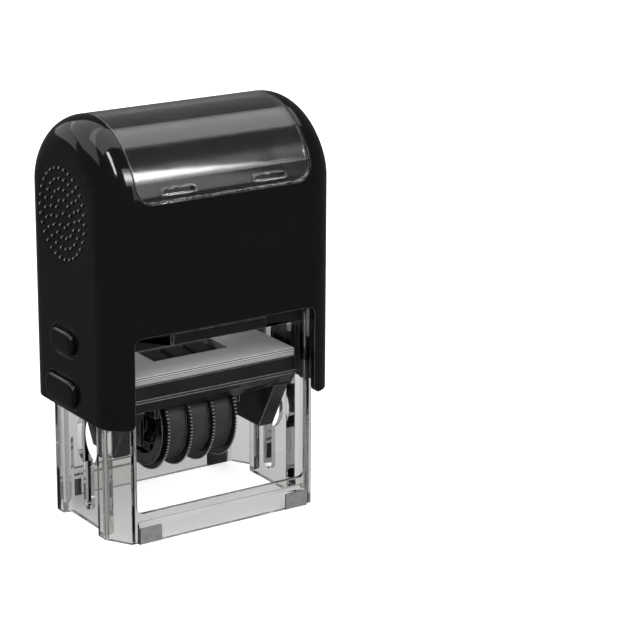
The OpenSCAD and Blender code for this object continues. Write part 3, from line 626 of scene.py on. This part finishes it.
def onSide(side, loop, y, z):
    # places a loop of Y and Z on the left side, and turned half round on the right
    turn = 1.0 if side < 0 else -1.0
    return loop * [turn, 1] + [turn * y, z]


def sideSpan(side, near, far):
    # two distances from the middle, as a low and a high X on that side
    return (side * far, side * near) if side < 0 else (near, far)


dishR = (capForm["fingerR"] ** 2 + capForm["fingerDepth"] ** 2) / (2 * capForm["fingerDepth"])


def dishHeight(reach):
    # depth of a large sphere's slice: its lowest point lies under the middle of the finger dish
    return capForm["halfX"] - capForm["fingerDepth"] + dishR - np.sqrt(dishR ** 2 - reach ** 2)


def dishTool(side):
    # rings of that sphere, from the middle out to a little past the wall's face
    rings, count = capForm["dishSteps"]
    reach = np.linspace(capForm["fingerCore"], capForm["fingerPast"] * capForm["fingerR"], rings)[:, None]
    about = np.radians(np.arange(count) * 360.0 / count)
    loop = np.stack([reach * np.cos(about), reach * np.sin(about)], -1)
    loop = onSide(side, loop, capForm["fingerY"], capForm["fingerZ"])
    out = np.broadcast_to(side * dishHeight(reach), loop.shape[:2])
    return loft("dishCut", np.concatenate([out[..., None], loop], -1))


capShell = capOutside()
wall, over = capForm["wall"], capForm["over"]
inner = roundedLoop(capForm["halfX"] - wall, capForm["halfY"] - wall, capForm["endR"] - wall)
vault = circleLoop(capForm["top"] - capForm["roof"] - capForm["vaultR"], capForm["vaultR"], 120)
seat = circleLoop(0, capForm["seatR"], 90)
seatHigh = capForm["top"] - capForm["roof"] / 2
windowSpace = windowGrid(windowForm["thick"] + windowForm["clear"], windowForm["clear"])
outY = capForm["halfY"] + over
steps = [
    ("DIFFERENCE", prism("cavityCut", inner, capForm["foot"] - over, capForm["cavityTop"], "z")),
    ("DIFFERENCE", prism("vaultCut", vault, -capForm["vaultX"], capForm["vaultX"], "x")),
    ("UNION", prism("springSeat", seat, capForm["seatTop"], seatHigh, "z")),
    ("DIFFERENCE", shell("windowCut", windowGrid(-windowForm["above"], windowForm["clear"]), windowSpace)),
    ("DIFFERENCE", prism("gateCut", gateLoop(), -outY, outY, "y")),
]
outX = capForm["halfX"] + over
for side in (-1, 1):
    for face, rim, y, z, depth in (
            (capForm["clipFace"], capForm["clipRim"], capForm["clipY"], capForm["clipZ"], capForm["clipDepth"]),
            (capForm["lockFace"], capForm["lockRim"], capForm["lockY"], capForm["lockZ"], capForm["lockDepth"]),
            (capForm["lockFace"], capForm["lockClear"], capForm["lockY"], capForm["lockZ"], 2 * wall)):
        loop = onSide(side, stadiumLoop(face[0] + 2 * rim, face[1] + 2 * rim), y, z)
        span = sideSpan(side, capForm["halfX"] - depth, outX)
        steps.append(("DIFFERENCE", prism("buttonCut", loop, *span, "x")))
    steps.append(("DIFFERENCE", dishTool(side)))
    loop = onSide(side, circleLoop(0, capForm["boreR"], 45), 0, capForm["clipZ"])
    span = sideSpan(side, capForm["halfX"] - 2 * wall, outX)
    steps.append(("DIFFERENCE", prism("boreCut", loop, *span, "x")))
carve(capShell, steps)
flatKept(finishMesh(capShell, capForm["sharp"]))
settle(capShell, "cap", "cap_plastic", finishes["cap_plastic"], "cap_shell")
print("cap shell made:", len(capShell.data.polygons), "faces")

# raised dots in rings on the finger dish of each side, with a painted glint: their tips are coloured paler
dotForm = {
    "rings": ((0.0, 1), (3.6, 9), (6.3, 16), (9.0, 22), (11.7, 30)), "startTurn": 97,
    "radius": 0.55, "height": 0.5, "sink": 0.15, "lift": (0, 22, 42, 60, 74, 84), "sides": 14, "sharp": 60,
}


def gripDots():
    # every dot is a dome: rings of a half ellipse, placed at all ring centres at once
    centre = np.concatenate([
        r * np.stack([np.cos(t), np.sin(t)], -1)
        for r, n in dotForm["rings"] for t in [np.radians(np.arange(n) * 360.0 / n + dotForm["startTurn"])]])
    lift = np.radians(dotForm["lift"])
    about = np.radians(np.arange(dotForm["sides"]) * 360.0 / dotForm["sides"])
    ringR = dotForm["radius"] * np.concatenate([[1.0], np.cos(lift)])
    ringH = np.concatenate([[-dotForm["sink"]], dotForm["height"] * np.sin(lift)])
    y = ringR[:, None] * np.cos(about)
    z = ringR[:, None] * np.sin(about)
    floor = dishHeight(np.linalg.norm(centre, axis=1))
    out = np.broadcast_to(floor[:, None, None] + ringH[:, None], (len(centre),) + y.shape)
    allPoints, allFaces, start = [], [], 0
    rows, cols = y.shape
    quads = gridQuads(rows, cols)
    ends = np.stack([np.arange(cols)[::-1], (rows - 1) * cols + np.arange(cols)])
    for side in (-1, 1):
        spots = onSide(side, centre, capForm["fingerY"], capForm["fingerZ"])
        points = np.stack([side * out, spots[:, 0, None, None] + y, spots[:, 1, None, None] + z], -1)
        offset = start + np.arange(len(spots))[:, None, None] * rows * cols
        allPoints.append(points.reshape(-1, 3))
        allFaces += (quads + offset).reshape(-1, 4).tolist()
        allFaces += (ends + offset).reshape(-1, cols).tolist()
        start += points.shape[0] * rows * cols
    dots = meshObject("gripDots", np.concatenate(allPoints), allFaces)
    # the tip mark, by which the finish paints a glint on each dot's tip
    tip = dots.data.attributes.new("tip", "FLOAT", "POINT")
    rise = np.broadcast_to(np.maximum(ringH, 0)[:, None] / dotForm["height"], out.shape)
    tip.data.foreach_set("value", np.tile(rise.reshape(-1), 2).astype(np.float32))
    return dots


dots = finishMesh(gripDots(), dotForm["sharp"])
settle(dots, "cap", "cap_plastic", dotPaintedGlintFinish)
print("grip dots made")

# side buttons: a stadium face that domes over a rounded edge
buttonForm = {
    "proud": 1.5, "inset": (0.0, 0.0, 0.1, 0.32, 0.65, 1.1, 1.8, 2.5),
    "fall": (0.0, 0.85, 0.5, 0.24, 0.1, 0.04, 0.01, 0.0),
    "flange": 0.8, "flangeGap": 0.3, "sink": 0.5, "sharp": 50,
}


def buttonRings(side, face, y, z, start):
    # the outline shrinks ring by ring while it rises along a quarter round, then flattens
    loops = [stadiumLoop(face[0] - 2 * d, face[1] - 2 * d) for d in buttonForm["inset"]]
    rings = np.stack([onSide(side, loop, y, z) for loop in loops])
    height = capForm["halfX"] + buttonForm["proud"] - np.array(buttonForm["fall"])
    height[0] = start
    out = np.broadcast_to(side * height[:, None, None], rings.shape[:2] + (1,))
    return np.concatenate([out, rings], -1)


clipSpot = (capForm["clipFace"], capForm["clipY"], capForm["clipZ"])
lockSpot = (capForm["lockFace"], capForm["lockY"], capForm["lockZ"])
flangeFace = [length + 2 * buttonForm["flange"] for length in capForm["lockFace"]]
flangeFar = capForm["halfX"] - wall - buttonForm["flangeGap"]
for side, name in ((-1, "left"), (1, "right")):
    clip = loft("axleClip." + name, buttonRings(side, *clipSpot, capForm["halfX"] - capForm["clipDepth"]))
    finishMesh(clip, buttonForm["sharp"])
    settle(clip, "cap", "cap_plastic", finishes["cap_plastic"], "axle_clip_" + name)
    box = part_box("lock_button_" + name)
    inside = (box[1].x if side < 0 else box[0].x) / mm * side
    lock = loft("lockButton." + name, buttonRings(side, *lockSpot, inside + buttonForm["sink"]))
    flange = onSide(side, stadiumLoop(*flangeFace), *lockSpot[1:])
    carve(lock, [("UNION", prism("lockFlange", flange, *sideSpan(side, inside, flangeFar), "x"))])
    finishMesh(lock, buttonForm["sharp"])
    settle(lock, "lock_" + name, "cap_plastic", finishes["cap_plastic"], "lock_button_" + name)
print("buttons made")

# clear window over the crown
window = shell("indexWindow", windowGrid(0.0, 0.0), windowGrid(windowForm["thick"], 0.0))
slotLoop = stadiumLoop(*windowForm["slot"], windowForm["slotSteps"])
slotSpots = [slotLoop + [s * windowForm["slotX"], windowForm["slotZ"]] for s in (-1, 1)]
reach = windowForm["slotReach"]
carve(window, [("DIFFERENCE", prism("slotCut", spot, -reach, reach, "y")) for spot in slotSpots])
softEdges(finishMesh(window, windowForm["sharp"]), windowForm["edge"], leastAngle=windowForm["edgeAngle"])
settle(window, "window", "window_clear", finishes["window_clear"], "index_window")
print("window made")


def softCopy(nodeName, pieceName, mergeGap=0.002, flatAngle=0.5, sharp=30):
    # the node's own mesh, with its loose triangles merged and flat faces joined
    mesh = nodes[nodeName].data.copy()
    bm = bmesh.new()
    bm.from_mesh(mesh)
    bmesh.ops.remove_doubles(bm, verts=bm.verts, dist=mergeGap * mm)
    bmesh.ops.dissolve_limit(bm, angle_limit=math.radians(flatAngle), verts=bm.verts, edges=bm.edges)
    bm.to_mesh(mesh)
    bm.free()
    obj = bpy.data.objects.new(pieceName, mesh)
    bpy.context.scene.collection.objects.link(obj)
    return finishMesh(obj, sharp)


# die carrier and cassette with rounded moulded edges
softForm = {
    "carrier": {"piece": "dieCarrier", "body": "rotor", "width": 0.25, "least": 3.0},
    "ink_cassette": {"piece": "inkCassette", "body": "base", "width": 0.3, "least": 3.0},
}
for nodeName, form in softForm.items():
    piece = softEdges(softCopy(nodeName, form["piece"]), form["width"], form["least"])
    settle(piece, form["body"], "inner_plastic", finishes["inner_plastic"], nodeName)
print("soft edged mouldings made")

# date wheels: the toothed rims are cut back to a stub, and slim discs with fine teeth stand on it
wheelForm = {"z": 25.4, "stub": 11.35, "outside": 14.2, "rim": 1.2, "beyond": 0.1, "step": 1.5, "sharp": 30}
toothForm = {"count": 88, "share": (-0.34, -0.11, 0.11, 0.34), "tip": 13.4, "root": 12.7, "foot": 12.6,
             "inside": 11.25, "thick": 0.55, "stand": 0.02, "sharp": 25}
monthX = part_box("month_wheel")[0].x / mm
yearX, lastX = (corner.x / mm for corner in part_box("year_wheel"))
rimPlaces = {"day": (2 * monthX - yearX,), "month": (monthX,), "year": (yearX, lastX - wheelForm["rim"])}


def roundShaft(name, x, radius, turn):
    # a closed section of X and radius, one row for each of its corners, carried round the shaft
    rows, cols = radius.shape[-2:]
    points = np.stack([np.broadcast_to(x[..., None], radius.shape), radius * np.cos(turn),
                       wheelForm["z"] + radius * np.sin(turn)], -1).reshape(-1, rows * cols, 3)
    quads = gridQuads(rows + 1, cols) % (rows * cols)
    offset = np.arange(len(points))[:, None, None] * rows * cols
    return meshObject(name, points, (quads + offset).reshape(-1, 4).tolist())


def stubTool(rimX):
    # a rectangle that takes in the whole rim outside the stub
    near, far = rimX - wheelForm["beyond"], rimX + wheelForm["rim"] + wheelForm["beyond"]
    radius = np.array([wheelForm[k] for k in ("stub", "outside", "outside", "stub")])
    turn = np.radians(np.arange(0, 360, wheelForm["step"]))
    x = np.array([near, near, far, far])
    return roundShaft("rimCut", x, np.repeat(radius[:, None], len(turn), 1), turn)


def toothedDiscs(name, rims):
    # a flat section whose outer edge rises and falls, with four corners to a tooth;
    # a mark from 0 at the root to 1 at the tip is kept for the finish, which paints a glint on the tips with it
    form = toothForm
    turn = (np.arange(form["count"])[:, None] + form["share"]).reshape(-1) * 2 * np.pi / form["count"]
    edge = np.tile([form["root"], form["tip"], form["tip"], form["root"]], form["count"])
    inside, foot = np.full_like(edge, form["inside"]), np.full_like(edge, form["foot"])
    radius = np.stack([inside, foot, edge, edge, foot, inside])
    x = np.array(rims)[:, None] + form["stand"] + form["thick"] * np.array([0, 0, 0, 1, 1, 1])
    discs = roundShaft(name, x, np.broadcast_to(radius, (len(rims),) + radius.shape), turn)
    place = np.empty(len(discs.data.vertices) * 3)
    discs.data.vertices.foreach_get("co", place)
    reach = np.hypot(place[1::3], place[2::3] - wheelForm["z"] * mm) / mm
    tip = discs.data.attributes.new("tip", "FLOAT", "POINT")
    rise = np.clip((reach - form["root"]) / (form["tip"] - form["root"]), 0, 1)
    tip.data.foreach_set("value", rise.astype(np.float32))
    return discs


for name, rims in rimPlaces.items():
    wheel = softCopy(name + "_wheel", name + "Wheel")
    carve(wheel, [("DIFFERENCE", stubTool(rimX)) for rimX in rims])
    finishMesh(wheel, wheelForm["sharp"])
    settle(wheel, name + "_dial", "wheel_plastic", finishes["wheel_plastic"], name + "_wheel")
    discs = finishMesh(toothedDiscs(name + "Teeth", rims), toothForm["sharp"])
    settle(discs, name + "_dial", "wheel_plastic", toothPaintedGlintFinish)
    print("wheel made:", name, len(wheel.data.polygons) + len(discs.data.polygons), "faces")

# slim beads along the ridge of the tray, front and back, coloured a lighter grey as painted highlight lines
beadForm = {"halfX": 24.9, "radius": 0.16, "taper": 0.6, "endShare": 0.02, "y": 16.2, "z": (36.9, 36.2),
            "steps": 41, "sides": 10, "sharp": 70}


def beadRings(y, z):
    # a small circle carried along X, which shrinks over the last stretch at each end
    x = beadForm["halfX"] * np.sin(np.linspace(-90, 90, beadForm["steps"]) * np.pi / 180)
    left = np.clip((beadForm["halfX"] - np.abs(x)) / beadForm["taper"], beadForm["endShare"], 1)
    radius = (beadForm["radius"] * np.sqrt(left * (2 - left)))[:, None]
    a = np.arange(beadForm["sides"]) * 2 * np.pi / beadForm["sides"]
    out = radius * np.cos(a)
    return np.stack([np.broadcast_to(x[:, None], out.shape), y + out, z + radius * np.sin(a)], -1)


for count, (y, z) in enumerate((side * beadForm["y"], z) for side in (-1, 1) for z in beadForm["z"]):
    bead = finishMesh(loft("trayBead.%d" % count, beadRings(y, z)), beadForm["sharp"])
    settle(bead, "rotor", "inner_plastic", ridgePaintedHighlightFinish)
print("tray beads made")

# ink pad: felt block with a crowned lower face
padForm = {"halfX": 25.2, "halfY": 15.8, "low": 50.0, "high": 53.0, "crown": 0.3, "drawIn": 0.15, "edge": 0.7,
           "upperShare": 0.3, "rows": 61, "cols": 41, "sharp": 60}


def inkPadGrid():
    # upper and lower skins over a square of two parameters: the sides draw in between the corners,
    # the lower face falls away with the fourth power of the distance, and both round off at the edge
    across, deep = np.linspace(-1, 1, padForm["rows"]), np.linspace(-1, 1, padForm["cols"])
    u, v = np.meshgrid(across, deep, indexing="ij")
    x = u * (padForm["halfX"] - padForm["drawIn"] * (1 - v ** 2) * np.abs(u))
    y = v * (padForm["halfY"] - padForm["drawIn"] * (1 - u ** 2) * np.abs(v))
    rim = np.minimum(1 - np.abs(u), (1 - np.abs(v)) * padForm["halfY"] / padForm["halfX"]) * padForm["halfX"]
    edge = padForm["edge"]
    fall = edge - np.sqrt(np.maximum(edge ** 2 - np.maximum(edge - rim, 0) ** 2, 0))
    low = padForm["low"] + padForm["crown"] * np.maximum(np.abs(u), np.abs(v)) ** 4 + fall
    high = np.full_like(low, padForm["high"]) - padForm["upperShare"] * fall
    return shell("inkPad", np.stack([x, y, low], -1), np.stack([x, y, high], -1))


pad = finishMesh(inkPadGrid(), padForm["sharp"])
settle(pad, "base", "ink_felt", finishes["ink_felt"], "ink_pad")
print("ink pad made")

# return spring: round wire on a helix
springForm = {"coilR": 7.0, "wireR": 0.7, "turns": 9, "low": 57.45, "high": 101.75, "perTurn": 28, "sides": 12,
              "foot": 56.6, "travel": 30.6, "sharp": 60}


def springRings():
    # a circle carried along a helix: its centre turns and climbs evenly, square to the path
    s = np.linspace(0, 1, springForm["turns"] * springForm["perTurn"] + 1)
    a = 2 * np.pi * springForm["turns"] * s
    rise = springForm["high"] - springForm["low"]
    climb = rise / (2 * np.pi * springForm["turns"] * springForm["coilR"])
    out = np.stack([np.cos(a), np.sin(a), 0 * a], -1)
    along = np.stack([-np.sin(a), np.cos(a), 0 * a + climb], -1)
    along /= np.linalg.norm(along, axis=1, keepdims=True)
    up = np.cross(out, along)
    b = (np.arange(springForm["sides"]) * 2 * np.pi / springForm["sides"])[None, :, None]
    centre = springForm["coilR"] * out + np.stack([0 * a, 0 * a, springForm["low"] + rise * s], -1)
    return centre[:, None] + springForm["wireR"] * (np.cos(b) * out[:, None] + np.sin(b) * up[:, None])


spring = finishMesh(loft("returnSpring", springRings()), springForm["sharp"])
settle(spring, "base", "spring_steel", finishes["spring_steel"], "return_spring")
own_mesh(spring)
print("spring made")

# floor, lamps, world and camera
stageForm = {"size": 6.0, "drop": 0.0002, "colour": 0.8, "glow": 0.56, "fill": 0.58,
             "gloss": 0.095, "through": 0.28, "passing": 0.56}


def raySteps(tree):
    # three strengths: what is seen (1 for the camera, less through glass, and still less after a mirror),
    # the even tone of mirror images, and 1 for soft bounces
    path = addNode(tree, "ShaderNodeLightPath")
    passing, shiny = path.outputs["Is Transmission Ray"], path.outputs["Is Glossy Ray"]
    mirrored = mathNode(tree, "MINIMUM", path.outputs["Glossy Depth"], 1.0)
    drop = mathNode(tree, "MULTIPLY", mirrored, stageForm["passing"] - stageForm["through"])
    through = mathNode(tree, "MULTIPLY", passing, mathNode(tree, "SUBTRACT", stageForm["passing"], drop))
    seen = mathNode(tree, "MAXIMUM", path.outputs["Is Camera Ray"], through)
    sharp = mathNode(tree, "MAXIMUM", passing, shiny)
    soft = mathNode(tree, "SUBTRACT", 1.0, mathNode(tree, "MAXIMUM", path.outputs["Is Camera Ray"], sharp))
    return seen, mathNode(tree, "MULTIPLY", shiny, stageForm["gloss"]), soft


floorMesh = bpy.data.meshes.new("floor")
half = stageForm["size"] / 2
corners = [(x * half, y * half, -stageForm["drop"]) for x, y in ((-1, -1), (1, -1), (1, 1), (-1, 1))]
floorMesh.from_pydata(corners, [], [(0, 1, 2, 3)])
floor = bpy.data.objects.new("floor", floorMesh)
bpy.context.scene.collection.objects.link(floor)
floorPaint = bpy.data.materials.new("floorPaint")
floorPaint.use_nodes = True
tree = floorPaint.node_tree
tree.nodes.clear()
seen, mirrorTone, soft = raySteps(tree)
pale = addNode(tree, "ShaderNodeBsdfDiffuse")
lit = mathNode(tree, "MAXIMUM", seen, soft)
tree.links.new(mathNode(tree, "MULTIPLY", lit, stageForm["colour"]), pale.inputs["Color"])
glow = addNode(tree, "ShaderNodeEmission")
own = mathNode(tree, "MULTIPLY", seen, stageForm["glow"])
tree.links.new(mathNode(tree, "MAXIMUM", own, mirrorTone), glow.inputs["Strength"])
both = addNode(tree, "ShaderNodeAddShader")
tree.links.new(pale.outputs[0], both.inputs[0])
tree.links.new(glow.outputs[0], both.inputs[1])
tree.links.new(both.outputs[0], addNode(tree, "ShaderNodeOutputMaterial").inputs["Surface"])
floorMesh.materials.append(floorPaint)

world = bpy.data.worlds.new("studio")
bpy.context.scene.world = world
world.use_nodes = True
tree = world.node_tree
tree.nodes.clear()
sky = addNode(tree, "ShaderNodeBackground", {"Color": (1.0, 1.0, 1.0, 1.0)})
seen, mirrorTone, soft = raySteps(tree)
level = mathNode(tree, "MAXIMUM", seen, mathNode(tree, "MULTIPLY", soft, stageForm["fill"]))
tree.links.new(mathNode(tree, "MAXIMUM", level, mirrorTone), sky.inputs["Strength"])
tree.links.new(sky.outputs[0], addNode(tree, "ShaderNodeOutputWorld").inputs["Surface"])

# a card shows in gloss and glass only, a soft lamp only lights, and a lamp does both; metres and watts
# a row without a face points to the back, and one without along stands upright
toBack, toFront, downward, upright = (0, 1, 0), (0, -1, 0), (0, 0, -1), (0, 0, 1)
lampForm = {
    "softboxCore": {"kind": "card", "watts": 1.3, "place": (0.215, -0.568, 0.57), "size": (0.39, 0.12)},
    "softboxMid": {"kind": "card", "watts": 1.8, "place": (0.215, -0.57, 0.57), "size": (0.4, 0.24)},
    "softboxRim": {"kind": "lamp", "watts": 1.5, "place": (0.215, -0.572, 0.59), "size": (0.42, 0.42)},
    "softboxFoot": {"kind": "card", "watts": 0.14, "place": (0.28, -0.571, 0.24), "size": (0.16, 0.28)},
    "strip": {"kind": "lamp", "watts": 1.9, "place": (-0.27, -0.34, 0.7), "size": (0.08, 0.45),
              "face": downward, "along": (0.3, 0.954, 0)},
    "ceiling": {"kind": "card", "watts": 1.76, "place": (0.08, 0.1, 0.72), "size": (1.0, 0.4),
                "face": downward, "along": (0, 1, 0)},
    "back": {"kind": "card", "watts": 4.4, "place": (-0.5, 0.62, 0.74), "size": (1.3, 1.0),
             "face": downward, "along": (-0.3, 0.954, 0)},
    "backWall": {"kind": "card", "watts": 0.75, "place": (-0.4, 0.8, 0.39), "size": (0.8, 0.38), "face": toFront},
    "fill": {"kind": "soft", "watts": 2.0, "place": (-0.3, -0.85, 0.42), "size": (0.8, 0.3),
             "face": (0.31, 0.87, -0.38)},
    "rear": {"kind": "soft", "watts": 5.0, "place": (0.05, 0.85, 0.3), "size": (1.0, 0.3),
             "face": (0, -0.95, -0.3)},
}
for name, form in lampForm.items():
    data = bpy.data.lights.new(name, "AREA")
    data.shape = "RECTANGLE"
    data.size, data.size_y = form["size"]
    data.energy = form["watts"]
    lamp = bpy.data.objects.new(name, data)
    bpy.context.scene.collection.objects.link(lamp)
    backward = -Vector(form.get("face", toBack)).normalized()
    across = Vector(form.get("along", upright)).cross(backward).normalized()
    facing = Matrix((across, backward.cross(across), backward)).transposed().to_4x4()
    lamp.matrix_world = Matrix.Translation(form["place"]) @ facing
    lamp.visible_camera = False
    lamp.visible_diffuse = form["kind"] != "card"
    lamp.visible_glossy = form["kind"] != "soft"
    lamp.visible_transmission = form["kind"] != "soft"

cameraForm = {"azimuth": -34.024, "elevation": 17.371, "roll": 0.403, "place": (-0.31166, -0.52581, 0.24162),
              "lens": 137.467, "sensor": 36.0, "nearest": 0.01}
az, el, roll = (math.radians(cameraForm[k]) for k in ("azimuth", "elevation", "roll"))
backward = Vector((math.sin(az) * math.cos(el), -math.cos(az) * math.cos(el), math.sin(el)))
level = Vector((math.cos(az), math.sin(az), 0))
upward = backward.cross(level)
right = math.cos(roll) * level + math.sin(roll) * upward
above = math.cos(roll) * upward - math.sin(roll) * level
cameraData = bpy.data.cameras.new("camera")
cameraData.lens = cameraForm["lens"]
cameraData.sensor_width = cameraForm["sensor"]
cameraData.sensor_fit = "HORIZONTAL"
cameraData.clip_start = cameraForm["nearest"]
camera = bpy.data.objects.new("camera", cameraData)
bpy.context.scene.collection.objects.link(camera)
turnMatrix = Matrix((right, above, backward)).transposed().to_4x4()
camera.matrix_world = Matrix.Translation(cameraForm["place"]) @ turnMatrix
bpy.context.scene.camera = camera
bpy.context.scene.view_settings.view_transform = "Standard"
print("stage set")
